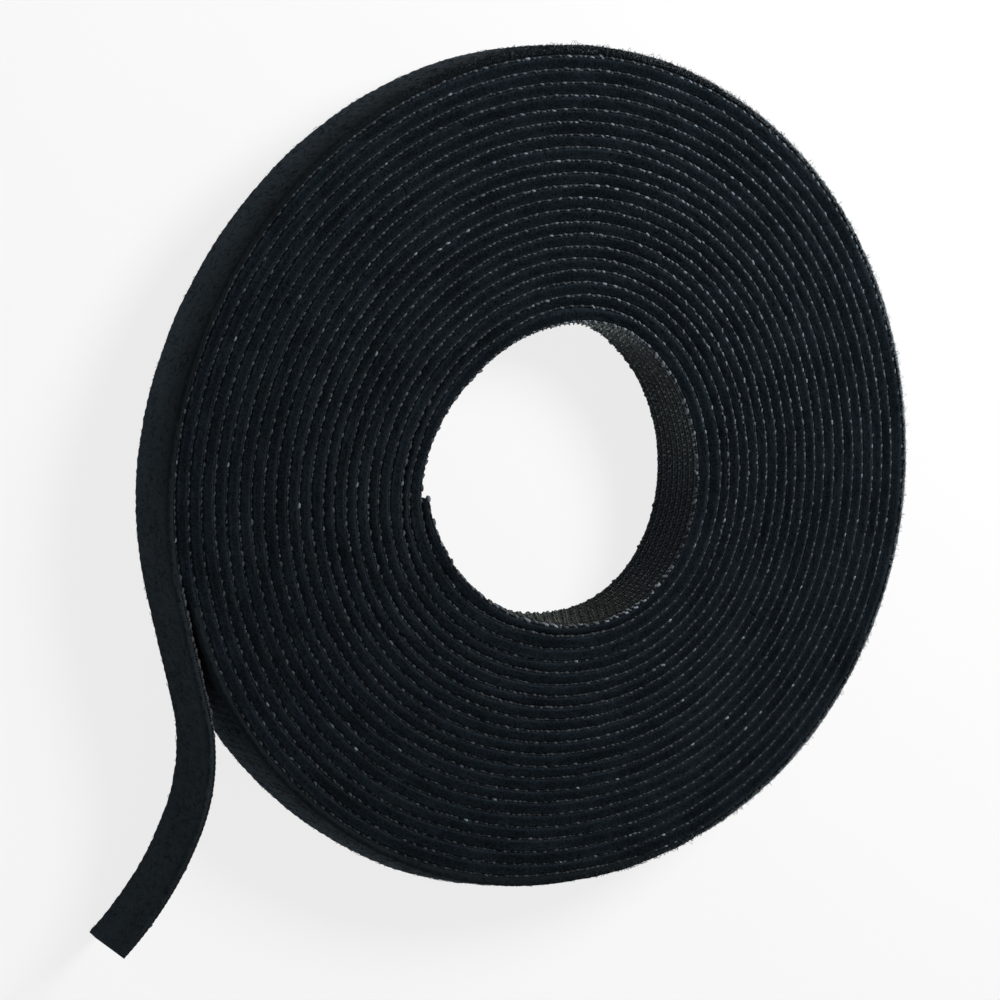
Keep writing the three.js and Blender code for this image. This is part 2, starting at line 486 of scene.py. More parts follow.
class Path:
    """The tape's bond seen from above: coil first and then tail, by the way along it."""

    def __init__(self):
        turns = np.linspace(0, TOTAL_TURNS, COIL_POINTS)
        angle = INNER_END_ANGLE + turns * FULL_TURN
        radius = laid_radius(turns)
        coil = roll_axis() + np.stack([radius * np.cos(angle), radius * np.sin(angle)], 1)
        steps = np.diff(coil, axis=0)
        heading = np.unwrap(np.arctan2(steps[:, 1], steps[:, 0]))
        along = np.concatenate([[0], np.cumsum(np.hypot(steps[:, 0], steps[:, 1]))])
        self.coil_length = along[-1]
        self.turn_ends = np.interp(np.arange(WHOLE_TURNS + 1), turns, along)
        self.last_turn = self.turn_ends[-1] - self.turn_ends[-2]

        bend_length = TAIL_BEND_RADIUS * TAIL_BEND_ANGLE
        tail_length = TAIL_STRAIGHT + bend_length + TAIL_CURL_LENGTH
        distance = np.arange(TAIL_STEP, tail_length, TAIL_STEP)
        in_bend = np.clip(distance - TAIL_STRAIGHT, 0, bend_length)
        in_curl = np.clip(distance - TAIL_STRAIGHT - bend_length, 0, None)
        tail_heading = heading[-1] - in_bend / TAIL_BEND_RADIUS - in_curl / TAIL_CURL_RADIUS
        tail_steps = TAIL_STEP * np.stack([np.cos(tail_heading), np.sin(tail_heading)], 1)
        tail = coil[-1] + np.cumsum(tail_steps, axis=0)

        self.along = np.concatenate([along, along[-1] + distance])
        self.heading = np.concatenate([heading[:1], heading, tail_heading])
        self.points = np.concatenate([coil, tail])
        self.length = self.along[-1]

    def turns(self, along):
        """Turns at a way along the tape, up to the last whole turn."""
        return np.interp(along, self.turn_ends, np.arange(WHOLE_TURNS + 1))

    def way(self, turns):
        """The way along the tape after these turns."""
        return np.interp(turns, np.arange(WHOLE_TURNS + 1), self.turn_ends)

    def splay(self, along):
        """How far the tape's lower edge stands out beyond its upper edge."""
        turned = math.degrees(INNER_END_ANGLE) + 360 * (1 + (along - self.turn_ends[-1]) / self.last_turn)
        return MM * read(SPLAY, turned)

    def lay(self, places):
        """Turns places (along, out, up) into points of the frame that the CAD is in."""
        along = places[..., 0]
        x, y, heading = (np.interp(along, self.along, row) for row in (*self.points.T, self.heading))
        ends = np.clip(along, 0, self.length)
        x = x + (along - ends) * np.cos(heading)
        y = y + (along - ends) * np.sin(heading)
        out = places[..., 1] + self.splay(along) * (1 - places[..., 2] / TAPE_WIDTH)
        return np.stack([x + out * np.sin(heading), y - out * np.cos(heading), places[..., 2]], -1)


path = Path()
COIL_END = path.coil_length
COIL_MIDDLE = COIL_END / 2
FIRST_TURN_END = path.turn_ends[1]
LAST_TURN_START = path.way(TOTAL_TURNS - 1)
TAIL_END = path.length


def spaced(start, end, step):
    return np.linspace(start, end, max(2, math.ceil((end - start) / step) + 1))


# Meshes

def add(name, data):
    made = bpy.data.objects.new(name, data)
    bpy.context.scene.collection.objects.link(made)
    return made


def build(name, places, faces, tone=None):
    """A mesh object from places on the tape and one index array for each number of corners."""
    flat = places.reshape(-1, 3)
    mesh = bpy.data.meshes.new(name)
    mesh.vertices.add(len(flat))
    mesh.vertices.foreach_set("co", path.lay(flat).astype(np.float32).ravel())
    corners = np.concatenate([f.ravel() for f in faces]).astype(np.int32)
    sizes = np.concatenate([np.full(len(f), f.shape[1]) for f in faces])
    mesh.loops.add(len(corners))
    mesh.loops.foreach_set("vertex_index", corners)
    mesh.polygons.add(len(sizes))
    starts = np.concatenate([[0], np.cumsum(sizes)[:-1]])
    mesh.polygons.foreach_set("loop_start", starts.astype(np.int32))
    mesh.polygons.foreach_set("use_smooth", np.ones(len(sizes), bool))
    place = mesh.attributes.new("tape_place", "FLOAT_VECTOR", "POINT")
    place.data.foreach_set("vector", flat.astype(np.float32).ravel())
    if tone is not None:
        shade = mesh.attributes.new("tone", "FLOAT", "POINT")
        shade.data.foreach_set("value", tone.astype(np.float32).ravel())
    mesh.update(calc_edges=True)
    return add(name, mesh)


def ring_faces(rings, sides, copies=1):
    """Faces of tubes made of rings of points, closed at both ends."""
    ring = np.arange(rings - 1)[:, None] * sides
    side = np.arange(sides)[None, :]
    after = (side + 1) % sides
    walls = np.stack([ring + side, ring + after, ring + sides + after, ring + sides + side], -1)
    walls = walls.reshape(-1, 4)
    first = np.arange(sides)[::-1][None, :]
    last = (rings - 1) * sides + np.arange(sides)[None, :]
    shift = np.arange(copies)[:, None, None] * rings * sides
    return [(group[None] + shift).reshape(-1, group.shape[1]) for group in (walls, first, last)]


def spread(along, out, up):
    """Places on the tape from three arrays that fill up one another."""
    return np.stack(np.broadcast_arrays(along, out, up), -1)


def strip(name, stations, section, relief=None):
    """A closed strip: section is (points, 2) of (out, up), carried along the stations."""
    places = spread(stations[:, None], section[:, 0], section[:, 1])
    if relief is not None:
        relief(places)
    return build(name, places, ring_faces(len(stations), len(section)))


def tubes(name, lines, radius, sides, facing=((0, 1, 0),), tone=None):
    """Tubes along flat lines (copies, points, 3). Each line's plane faces out, or its own facing."""
    copies, points, _ = lines.shape
    ahead = np.gradient(lines, axis=1)
    ahead /= np.linalg.norm(ahead, axis=-1, keepdims=True)
    one = np.broadcast_to(np.array(facing)[:, None, :], lines.shape)
    two = np.cross(ahead, one)
    angle = np.arange(sides) / sides * FULL_TURN
    radius = np.broadcast_to(radius, (copies, points))[..., None, None]
    ring = one[:, :, None] * np.cos(angle)[:, None] + two[:, :, None] * np.sin(angle)[:, None]
    places = lines[:, :, None] + ring * radius
    if tone is not None:
        tone = np.broadcast_to(tone[:, None, None], (copies, points, sides))
    return build(name, places, ring_faces(points, sides, copies), tone)


# Materials

class Shading:
    """A node tree, with the kinds of node that materials and the world are made from."""

    def __init__(self, tree):
        self.nodes = tree.nodes
        self.links = tree.links

    def feed(self, socket, value):
        """Gives a socket a fixed value, or links another node's output to it."""
        if isinstance(value, bpy.types.NodeSocket):
            self.links.new(value, socket)
        else:
            socket.default_value = value

    def new(self, kind, inputs, output, operation=None):
        """One output of a new node, whose inputs get these values or links."""
        node = self.nodes.new(f"ShaderNode{kind}")
        if operation:
            node.operation = operation
        for key, value in inputs.items():
            self.feed(node.inputs[key], value)
        return node.outputs[output]

    def math(self, operation, a, b=0.0):
        return self.new("Math", {0: a, 1: b}, "Value", operation)

    def times(self, vector, other):
        """Each part of a vector or colour, times the same part of another one."""
        return self.new("VectorMath", {0: vector, 1: other}, "Vector", "MULTIPLY")

    def scaled(self, vector, factor):
        return self.new("VectorMath", {0: vector, "Scale": factor}, "Vector", "SCALE")

    def between(self, source, low=0.0, high=1.0):
        """A value that goes from low to high as the source goes from 0 to 1."""
        return self.new("MapRange", {"Value": source, "To Min": low, "To Max": high}, "Result")

    def noise(self, source, scale, detail):
        return self.new("TexNoise", {"Vector": source, "Scale": scale, "Detail": detail}, "Fac")

    def ramp(self, source, stops):
        """Colour that goes from stop to stop, each a row of (source, red, green, blue)."""
        node = self.nodes.new("ShaderNodeValToRGB")
        elements = node.color_ramp.elements
        elements[0].position = stops[0][0]
        elements[1].position = stops[-1][0]
        for at, *_ in stops[1:-1]:
            elements.new(at)
        for element, (_, *colour) in zip(elements, stops):
            element.color = (*colour, 1)
        self.feed(node.inputs["Fac"], source)
        return node.outputs["Color"]

    def blend(self, source, colours, contrast):
        """The darker of two colours below one value of the source, and the lighter above another."""
        return self.ramp(source, [(at, *colour) for at, colour in zip(contrast, colours)])


class Surface(Shading):
    """A node material of its own."""

    def __init__(self, name):
        self.material = bpy.data.materials.new(name)
        self.material.use_nodes = True
        super().__init__(self.material.node_tree)
        self.shader = self.nodes["Principled BSDF"]


class Cloth(Surface):
    """A material of the tape, worked out from the place on it."""

    def __init__(self, name):
        super().__init__(name)
        self.place = self.attribute("tape_place", "Vector")
        split = self.nodes.new("ShaderNodeSeparateXYZ")
        self.feed(split.inputs["Vector"], self.place)
        self.along, self.out, self.up = split.outputs

    def attribute(self, name, output):
        node = self.nodes.new("ShaderNodeAttribute")
        node.attribute_name = name
        return node.outputs[output]

    def height(self):
        """Share of the way from the tape's lower edge to its upper one."""
        return self.math("DIVIDE", self.up, TAPE_WIDTH)

    def passed(self, start, length):
        """Share of a stretch of the tape that lies behind."""
        return self.math("DIVIDE", self.math("SUBTRACT", self.along, start), length)

    def round_bore(self, stops):
        """A colour that goes from stop to stop along the first turn."""
        return self.ramp(self.math("DIVIDE", self.along, FIRST_TURN_END), stops)

    def finish(self, colour, roughness, gloss, relief, depth):
        """Puts these on the shader: gloss is its specular level, depth that of the relief."""
        self.feed(self.shader.inputs["Base Color"], colour)
        self.feed(self.shader.inputs["Roughness"], roughness)
        self.shader.inputs["Specular IOR Level"].default_value = gloss
        bump = self.new("Bump", {"Height": relief, "Distance": depth, "Strength": 1.0}, "Normal")
        self.feed(self.shader.inputs["Normal"], bump)
        return self.material


def yarn_material():
    """Weft yarn over the tape's edge: grey, slightly glossy nylon that catches the light in dots, its tone
    carrying painted light, shade and glints.
    """
    cloth = Cloth("selvedge_yarn")
    patch = cloth.noise(cloth.place, scale=300, detail=2)
    tone = cloth.attribute("tone", "Fac")
    mixed = cloth.math("MULTIPLY", tone, cloth.between(patch, low=0.35, high=1.65))
    return cloth.finish(
        colour=cloth.blend(mixed, YARN_COLOURS, contrast=(0.04, 1.0)),
        roughness=cloth.between(patch, low=0.5, high=0.7),
        gloss=0.25,
        relief=cloth.noise(cloth.times(cloth.place, (2000, 16000, 16000)), scale=1, detail=1),
        depth=YARN_RELIEF,
    )


def painted_light_share(cloth):
    """Share of the full tone that the hook side has along the first turn, as painted light and shade, with
    painted bounce light towards its lower edge.
    """
    share = cloth.round_bore([(turns, tone, tone, tone) for turns, tone in HOOK_LIGHT_SHARES])
    return cloth.math("MULTIPLY", share, cloth.between(cloth.height(), *HOOK_EDGE_LIGHT_SHARES))


def stronger(cloth, value, share):
    """A value with its contrast raised where more light is painted on the hook side."""
    middle = 0.5
    away = cloth.math("SUBTRACT", value, middle)
    spread = cloth.math("MULTIPLY", away, cloth.between(share, *HOOK_CONTRASTS))
    return cloth.math("ADD", spread, middle)


def with_cast(cloth, colour):
    """A colour of the hook side, with the cast that it has along the first turn."""
    return cloth.times(colour, cloth.round_bore([(turns, red, 1, blue) for turns, red, blue in HOOK_CASTS]))


def hook_material():
    """Stiff monofilament hooks: dark, with a slight olive cast and some gloss, lighter where light is
    painted on the hook side, up to a painted glint where it is full.
    """
    cloth = Cloth("hook_monofilament")
    patch = cloth.noise(cloth.place, scale=1600, detail=2)
    share = painted_light_share(cloth)
    colour = cloth.blend(stronger(cloth, patch, share), HOOK_COLOURS, contrast=(0.35, 0.7))
    power = 1.4
    return cloth.finish(
        colour=with_cast(cloth, cloth.scaled(colour, cloth.math("POWER", share, power))),
        roughness=cloth.between(patch, low=0.4, high=0.6),
        gloss=0.15,
        relief=cloth.noise(cloth.place, scale=9000, detail=1),
        depth=HOOK_RELIEF,
    )


def ribs(cloth, source, pitch, centre):
    """A value that peaks at every pitch from a centre, along one axis of the tape."""
    shifted = cloth.math("SUBTRACT", source, centre)
    wave = cloth.math("COSINE", cloth.math("MULTIPLY", shifted, FULL_TURN / pitch))
    return cloth.math("MAXIMUM", wave, 0.0)


def weave_material():
    """Woven ground of the hook side: lighter ribs along it and bars across it, dark between them, with light
    and shade painted on it round the bore.
    """
    cloth = Cloth("hook_ground_weave")
    weft_share = 0.7
    warp = ribs(cloth, cloth.up, WARP_PITCH, TAPE_WIDTH / 2)
    weft = ribs(cloth, cloth.along, WEFT_PITCH, 0.0)
    height = cloth.math("MAXIMUM", warp, cloth.math("MULTIPLY", weft, weft_share))
    patch = cloth.noise(cloth.place, scale=500, detail=3)
    share = painted_light_share(cloth)
    mixed = cloth.math("MULTIPLY", height, cloth.between(patch, low=0.3, high=1.7))
    colour = cloth.blend(stronger(cloth, mixed, share), WEAVE_COLOURS, contrast=(0.25, 1.0))
    return cloth.finish(
        colour=with_cast(cloth, cloth.scaled(colour, share)),
        roughness=cloth.between(patch, low=0.6, high=0.8),
        gloss=0.06,
        relief=height,
        depth=WEAVE_RELIEF,
    )


def lighter_borders(cloth, _, lightness):
    """Paints light on a pressed pile towards its ground and its face, lifting the shade beside the edge
    yarn.
    """
    away = cloth.math("DIVIDE", cloth.math("SUBTRACT", cloth.out, PILE_MIDDLE), PILE_HALF_DEPTH)
    share = cloth.math("POWER", away, 4.0)
    return cloth.math("MULTIPLY", lightness, cloth.between(share, 1.0, BORDER_LIGHT_GAIN))


def lighter_start(cloth, down, lightness):
    """Paints light on the last turn at its start, lifting the shade beside the tail, and makes it as light
    as the tail at its end.
    """
    settled = cloth.between(cloth.passed(COIL_END - SETTLE_LENGTH, SETTLE_LENGTH))
    change = cloth.math("SUBTRACT", cloth.between(down, *TAIL_LIGHTNESS_AND_BOUNCE), lightness)
    lightness = cloth.math("ADD", lightness, cloth.math("MULTIPLY", change, settled))
    gain = cloth.between(cloth.passed(LAST_TURN_START, LAST_TURN_FADE), LAST_TURN_LIGHT_GAIN, 1.0)
    return cloth.math("MULTIPLY", lightness, gain)


def pile_material(name, colours, lightness, contrast=PILE_CONTRAST, adjust=None, toned=False):
    """Loop pile: matt black nylon fluff with a faint cool cast, lighter towards its lower edge by painted
    bounce light where its lightness asks, and adjusted where asked.
    """
    cloth = Cloth(name)
    broad = cloth.noise(cloth.place, scale=160, detail=2)
    fine = cloth.noise(cloth.times(cloth.place, (3500, 3500, 2500)), scale=1, detail=4)
    mixed = cloth.math("MULTIPLY", cloth.between(broad, low=0.5, high=1.5), fine)
    if toned:
        mixed = cloth.math("MULTIPLY", mixed, cloth.attribute("tone", "Fac"))
    down = cloth.math("SUBTRACT", 1.0, cloth.height())
    lighter = cloth.between(down, *lightness)
    if adjust:
        lighter = adjust(cloth, down, lighter)
    return cloth.finish(
        colour=cloth.scaled(cloth.blend(mixed, colours, contrast), lighter),
        roughness=cloth.between(fine, low=0.75, high=1.0),
        gloss=0.02,
        relief=fine,
        depth=PILE_RELIEF,
    )


# Hook side

def plain_section():
    """Section of the hook side's ground, with its long edges rounded."""
    low, high = LOWER_INSET, TAPE_WIDTH - UPPER_INSET
    inner, rounded = -HOOK_GROUND, GROUND_ROUND_OFF - HOOK_GROUND
    below = [(inner, low + GROUND_ROUND_OFF), (rounded, low), (0, low)]
    above = [(0, high), (rounded, high), (inner, high - GROUND_ROUND_OFF)]
    return np.array(below + above)


def woven_section():
    """The same with square edges, and points close enough on its inner face to carry the weave."""
    low, high = LOWER_INSET, TAPE_WIDTH - UPPER_INSET
    inner_face = np.stack([np.full(WEAVE_POINTS, -HOOK_GROUND), np.linspace(high, low, WEAVE_POINTS)], 1)
    return np.concatenate([[(0, low), (0, high)], inner_face])


def weave_relief(places):
    """Raises ribs along the tape and bars across it on the inner face, which starts at the third point."""
    face = places[:, 2:]
    weft = np.clip(np.cos(face[..., 0] / HOOK_ROW_PITCH * FULL_TURN), 0, 1)
    warp = np.clip(np.cos((face[..., 2] - TAPE_WIDTH / 2) / WARP_PITCH * FULL_TURN), 0, 1)
    face[..., 1] -= RIB_HEIGHT * np.maximum(warp, WEFT_HEIGHT_SHARE * weft)


def hook_shape():
    """A cane-shaped hook: how far across it each of its points is, and how high."""
    turn = np.radians(np.linspace(0, HOOK_CROOK_DEGREES, HOOK_CROOK_POINTS))
    across = np.concatenate([[0, 0], HOOK_CROOK - HOOK_CROOK * np.cos(turn)])
    stem = [-HOOK_ROOT, HOOK_STEM * HOOK_STEM_SHARE]
    height = np.concatenate([stem, HOOK_STEM + HOOK_CROOK * np.sin(turn)])
    return across, height


def hooks(name, rows):
    """Hooks at every row and column, turned alternately to either side."""
    columns = TAPE_WIDTH / 2 + (np.arange(HOOK_COLUMNS) - (HOOK_COLUMNS - 1) / 2) * HOOK_COLUMN_PITCH
    rng = np.random.default_rng(11)
    row, column = np.meshgrid(np.arange(len(rows)), np.arange(HOOK_COLUMNS), indexing="ij")
    along = rows[row].ravel() + rng.normal(0, HOOK_SCATTER, row.size)
    up = columns[column].ravel() + rng.normal(0, HOOK_SCATTER, row.size)
    across, height = hook_shape()
    turn = HOOK_TURN + rng.normal(0, HOOK_TURN_SPREAD, row.size) + np.pi * ((row + column) % 2).ravel()
    reach = rng.uniform(*HOOK_REACH_SHARES, row.size)
    lines = spread(
        along[:, None] + np.sin(turn)[:, None] * across,
        -HOOK_GROUND - height * reach[:, None],
        up[:, None] + np.cos(turn)[:, None] * across,
    )
    taper = np.ones(len(across))
    taper[-1] = HOOK_TIP_SHARE
    return tubes(name, lines, HOOK_RADIUS * taper, HOOK_SIDES, spread(np.cos(turn), 0, -np.sin(turn)))


def cross_bars(name, start, end):
    """Weft picks that stand out of the hook side's ground, across it between every two rows of hooks."""
    index = np.arange(math.ceil(start / BAR_PITCH), math.floor(end / BAR_PITCH))
    rng = np.random.default_rng(len(index))
    along = (index * BAR_PITCH)[:, None] + rng.normal(0, BAR_SCATTER, (len(index), BAR_POINTS))
    up = np.linspace(BAR_MARGIN, TAPE_WIDTH - BAR_MARGIN, BAR_POINTS)
    out = -HOOK_GROUND - BAR_WAVE * np.cos(up / HOOK_COLUMN_PITCH * FULL_TURN)
    return tubes(name, spread(along, out, up), BAR_RADIUS, BAR_SIDES)


def yarn_tone_and_light(rng, along, turns, large):
    """Tone of each turn of edge yarn: uneven, with light and shade painted on by side of the roll, and now
    and then a painted glint.
    """
    patch = 1 + YARN_TONE_PATCH * broad_lumps(along, 0)
    share = read(YARN_LIGHT_SHARES, direction(turns)) * read(LAST_YARN_LIGHT_GAINS, turns)
    share = np.where(turns < 1, read(BORE_YARN_LIGHT_SHARES, turns), share)
    tone = np.where(large, YARN_TONES[0] * share, YARN_TONES[1] * share**SMALL_YARN_POWER)
    tone = tone * patch * rng.lognormal(0, YARN_TONE_SPREAD, len(along))
    tone[rng.random(len(along)) < PAINTED_GLINT_SHARE] = PAINTED_GLINT_TONE
    return np.clip(tone, 0, MOST_YARN_TONE)


def edge_yarn(name, start, end, upper, rings, sides):
    """Turns of weft yarn over one long edge, every other one larger and lighter."""
    first = math.ceil(start / PICK_PITCH)
    index = np.arange(first, math.floor(end / PICK_PITCH))
    count = len(index)
    rng = np.random.default_rng(first + (1 if upper else 2))
    large = index % 2 == 0
    along = index * PICK_PITCH + rng.normal(0, YARN_SCATTER[0], count)
    length = np.where(large, *YARN_LENGTHS) * rng.uniform(*YARN_LENGTH_SHARES, count)
    radius = np.where(large, *YARN_RADII) * rng.uniform(*YARN_RADIUS_SHARES, count)
    past_coil = WHOLE_TURNS + (along - path.turn_ends[-1]) / RIM_TURN_LENGTH
    turns = np.where(along > path.turn_ends[-1], past_coil, path.turns(along))
    size = read(YARN_SIZE_SHARES, direction(turns))
    radius *= size
    high = np.where(large, *YARN_HEIGHTS) + rng.normal(0, YARN_SCATTER[2], count)
    top = TAPE_WIDTH + high - read(YARN_SINK, turns) * MM - radius
    swing = np.radians(np.linspace(-YARN_SWING_DEGREES, YARN_SWING_DEGREES, rings))
    slant = rng.normal(YARN_SLANT, YARN_SLANT, count)[:, None]
    sideways = (rng.normal(0, YARN_SCATTER[1], count) - YARN_SIZE_SHIFT * (size - 1))[:, None]
    ahead = along[:, None] + length[:, None] / 2 * np.sin(swing)
    out = YARN_OUT + sideways + slant * length[:, None] * np.sin(swing)
    up = top[:, None] - YARN_DROP * (1 - np.cos(swing))
    if not upper:
        up = TAPE_WIDTH + YARN_LOWER_RISE - up
    tone = yarn_tone_and_light(rng, along, turns, large)
    return tubes(name, spread(ahead, out, up), radius[:, None], sides, tone=tone)


# Loop side

def pile_face(along):
    """How far the pile's outer face is from the bond: up to the next turn's ground, or free."""
    turns = path.turns(along)
    pressed = laid_radius(turns + 1) - laid_radius(turns) - HOOK_GROUND - PRESSED_PILE_CLEARANCE
    loose = FREE_PILE + MM * read(PILE_SWELL, direction(turns)) * (along < COIL_END)
    free = np.clip((along - LAST_TURN_START + LOOSENING_LENGTH) / LOOSENING_LENGTH, 0, 1)
    return pressed + (loose - pressed) * free


def pile_section(face_points):
    """Section of the loop strip, drawn for a free pile, with points up its outer face."""
    reach = FREE_PILE - LOOP_GROUND
    low = [(LOOP_GROUND + share * reach, drop * MM) for share, drop in LOWER_PILE_EDGE]
    high = [(LOOP_GROUND + share * reach, TAPE_WIDTH - drop * MM) for share, drop in UPPER_PILE_EDGE]
    face_up = np.linspace(FACE_MARGIN, TAPE_WIDTH - FACE_MARGIN, face_points)
    face = np.stack([np.full(face_points, FREE_PILE), face_up], 1)
    foot, head = (FOOT_OUT, LOWER_INSET), (HEAD_OUT, TAPE_WIDTH - HEAD_INSET)
    return np.concatenate([[foot], low, face, high[::-1], [head]])


def pile_relief(places):
    """Stretches the pile to its face, and gives it crosswise ridges of loops and ragged edges."""
    along, out, up = places[..., 0], places[..., 1].copy(), places[..., 2]
    deep = np.clip((out - LOOP_GROUND) / (FREE_PILE - LOOP_GROUND), 0, 1)
    face = pile_face(along)
    free = np.clip(RELIEF_NEAR_SHARE - np.abs(face - FREE_PILE) / RELIEF_FADE, PRESSED_RELIEF_SHARE, 1)
    ridge = np.sin(along / RIDGE_PITCH * FULL_TURN + RIDGE_WANDER * coarse_lumps(along, up))
    swell = RIDGE_HEIGHT * ridge + BROAD_SWELL * broad_lumps(along, up) + FINE_SWELL * fine_lumps(along, up)
    opened = path.splay(along + path.last_turn) * (1 - up / TAPE_WIDTH)
    toward_edge = (up - TAPE_WIDTH / 2) / (TAPE_WIDTH / 2)
    fine_ragged = FINE_RAGGED_HEIGHT * fine_lumps(along + RAGGED_OFFSET, out * 2)
    ragged = RAGGED_HEIGHT * edge_lumps(along, out * 2) + fine_ragged - RAGGED_SINK
    places[..., 1] += deep * (face - FREE_PILE + opened + free * swell * MM)
    rounded = EDGE_ROUND_OFF * np.clip(free - PRESSED_RELIEF_SHARE, 0, 1) * deep**3
    places[..., 2] -= rounded * (up > TAPE_WIDTH - EDGE_BAND)
    places[..., 2] += np.clip(deep * 8, 0, 1) * toward_edge**5 * ragged * MM
    places[..., 2] = np.maximum(places[..., 2], LEAST_HEIGHT)


def filament_loops(name, along, out, up, width, rise, turn, tilt, radius, tone):
    """Fine filament loops: each rises from its place by rise, tilted from outward (0) to upward (1)."""
    swing = np.linspace(-0.5, 0.5, LOOP_POINTS) * LOOP_ARC
    sideways = width[:, None] / 2 * np.sin(swing)
    lift = rise[:, None] * np.cos(swing)
    away = np.cos(tilt * math.pi / 2)[:, None]
    upward = np.sin(tilt * math.pi / 2)[:, None]
    lines = spread(
        along[:, None] + np.cos(turn)[:, None] * sideways,
        out[:, None] + away * lift - upward * np.sin(turn)[:, None] * sideways,
        up[:, None] + upward * lift + away * np.sin(turn)[:, None] * sideways,
    )
    facing = spread(-np.sin(turn), -upward[:, 0] * np.cos(turn), away[:, 0] * np.cos(turn))
    return tubes(name, lines, radius, LOOP_SIDES, facing, tone)


def face_loops(name, start, end, count, seed):
    """Loops standing out of the pile's free outer face, mostly lying across the tape."""
    rng = np.random.default_rng(seed)
    along = rng.uniform(start, end, count)
    up = rng.uniform(FACE_LOOP_MARGIN, TAPE_WIDTH - FACE_LOOP_MARGIN, count)
    out = pile_face(along) - FACE_LOOP_DEPTH
    width = rng.uniform(*FACE_LOOP_WIDTHS, count)
    rise = rng.uniform(*FACE_LOOP_RISES, count)
    turn = math.pi / 2 + rng.normal(0, FACE_LOOP_SPREAD, count)
    tone = rng.uniform(*FACE_LOOP_TONES, count)
    tilt = np.zeros(count)
    return filament_loops(name, along, out, up, width, rise, turn, tilt, FACE_LOOP_RADIUS, tone)


def edge_loops(name, start, end, count, seed, upper=True):
    """Loops standing out of the pile's edge, between one line of edge yarn and the next."""
    rng = np.random.default_rng(seed)
    along = rng.uniform(start, end, count)
    share = rng.uniform(*EDGE_LOOP_SHARES, count)
    out = LOOP_GROUND + share * (pile_face(along) - LOOP_GROUND)
    drop = read(UPPER_PILE_EDGE if upper else LOWER_PILE_EDGE, share) * MM
    width = rng.uniform(*EDGE_LOOP_WIDTHS, count)
    rise = rng.uniform(*EDGE_LOOP_RISES, count)
    turn = rng.uniform(0, math.pi, count)
    side = 1.0 if upper else -1.0
    up = TAPE_WIDTH / 2 + side * (TAPE_WIDTH / 2 - drop - LOOP_DEPTH)
    tone = rng.uniform(*EDGE_LOOP_TONES, count)
    tilt = np.full(count, side)
    return filament_loops(name, along, out, up, width, rise, turn, tilt, EDGE_LOOP_RADIUS, tone)


def rim_fluff(name, count, seed):
    """Stray loops that stand out past the pile's face and over its upper edge, thinning outward, with
    painted glare in their tone.
    """
    rng = np.random.default_rng(seed)
    start, end = path.way([FLUFF_STRETCH_AND_GLARE[0][0], FLUFF_STRETCH_AND_GLARE[-1][0]])
    along = start + (end - start) * rng.beta(*FLUFF_CROWDING, count)
    share = rng.beta(*FLUFF_DEPTH_CROWDING, count)
    tilt = rng.uniform(*FLUFF_TILTS, count)
    outward = tilt < FLUFF_OUTWARD_TILT
    out = LOOP_GROUND + share * (pile_face(along) - LOOP_GROUND) - FLUFF_DEPTH
    drop = read(UPPER_PILE_EDGE, share) * MM
    up = TAPE_WIDTH - drop - LOOP_DEPTH - np.where(outward, rng.uniform(0, FLUFF_DROP, count), 0)
    width = rng.uniform(*FLUFF_WIDTHS, count)
    outward_rise = FLUFF_OUTWARD_RISE + rng.exponential(FLUFF_OUTWARD_SPREAD, count)
    upward_rise = rng.uniform(*FLUFF_UPWARD_RISES, count)
    rise = np.where(outward, np.minimum(outward_rise, FLUFF_MOST_RISE), upward_rise)
    turn = rng.uniform(0, math.pi, count)
    tone = rng.uniform(*FLUFF_TONES, count) * read(FLUFF_STRETCH_AND_GLARE, path.turns(along))
    return filament_loops(name, along, out, up, width, rise, turn, tilt, FLUFF_RADIUS, tone)


# Scene around the object

def make_camera():
    """The camera that took the photograph, in the frame that the CAD is in."""
    cos_p, sin_p = math.cos(CAMERA_PITCH + math.pi), math.sin(CAMERA_PITCH + math.pi)
    cos_y, sin_y = math.cos(CAMERA_YAW), math.sin(CAMERA_YAW)
    tilt = Matrix(((1, 0, 0), (0, cos_p, -sin_p), (0, sin_p, cos_p)))
    swing = Matrix(((cos_y, 0, sin_y), (0, 1, 0), (-sin_y, 0, cos_y)))
    to_camera = tilt @ swing
    flip = Matrix.Diagonal((1, -1, -1))
    axis = roll_axis()
    middle = Vector((axis[0] + CAMERA_SHIFT[0], axis[1] + CAMERA_SHIFT[1], 0))
    place = middle - to_camera.transposed() @ Vector(CAMERA_OFFSET)
    data = bpy.data.cameras.new("camera")
    data.lens = CAMERA_LENS
    data.sensor_width = CAMERA_SENSOR
    data.clip_start = CAMERA_NEAR
    camera = add("camera", data)
    camera.matrix_world = Matrix.Translation(place) @ (flip @ to_camera).transposed().to_4x4()
    bpy.context.scene.camera = camera


def seen_directly(shading):
    """1 for a ray from the camera, also by reflection or through glass, and else 0."""
    ray = shading.nodes.new("ShaderNodeLightPath").outputs
    seen = shading.math("MAXIMUM", ray["Is Camera Ray"], ray["Is Glossy Ray"])
    return shading.math("MAXIMUM", seen, ray["Is Transmission Ray"])


def floor_material():
    """Pale floor that looks nearly white to the camera and keeps the object's shadow."""
    surface = Surface("pale_floor")
    surface.shader.inputs["Base Color"].default_value = (FLOOR_TONE, FLOOR_TONE, FLOOR_TONE, 1)
    surface.shader.inputs["Roughness"].default_value = FLOOR_ROUGHNESS
    glow = surface.new("Emission", {}, "Emission")
    share = surface.math("MULTIPLY", seen_directly(surface), FLOOR_GLOW_SHARE)
    mixed = surface.new("MixShader", {"Fac": share, 1: surface.shader.outputs["BSDF"], 2: glow}, "Shader")
    surface.feed(surface.nodes["Material Output"].inputs["Surface"], mixed)
    return surface.material


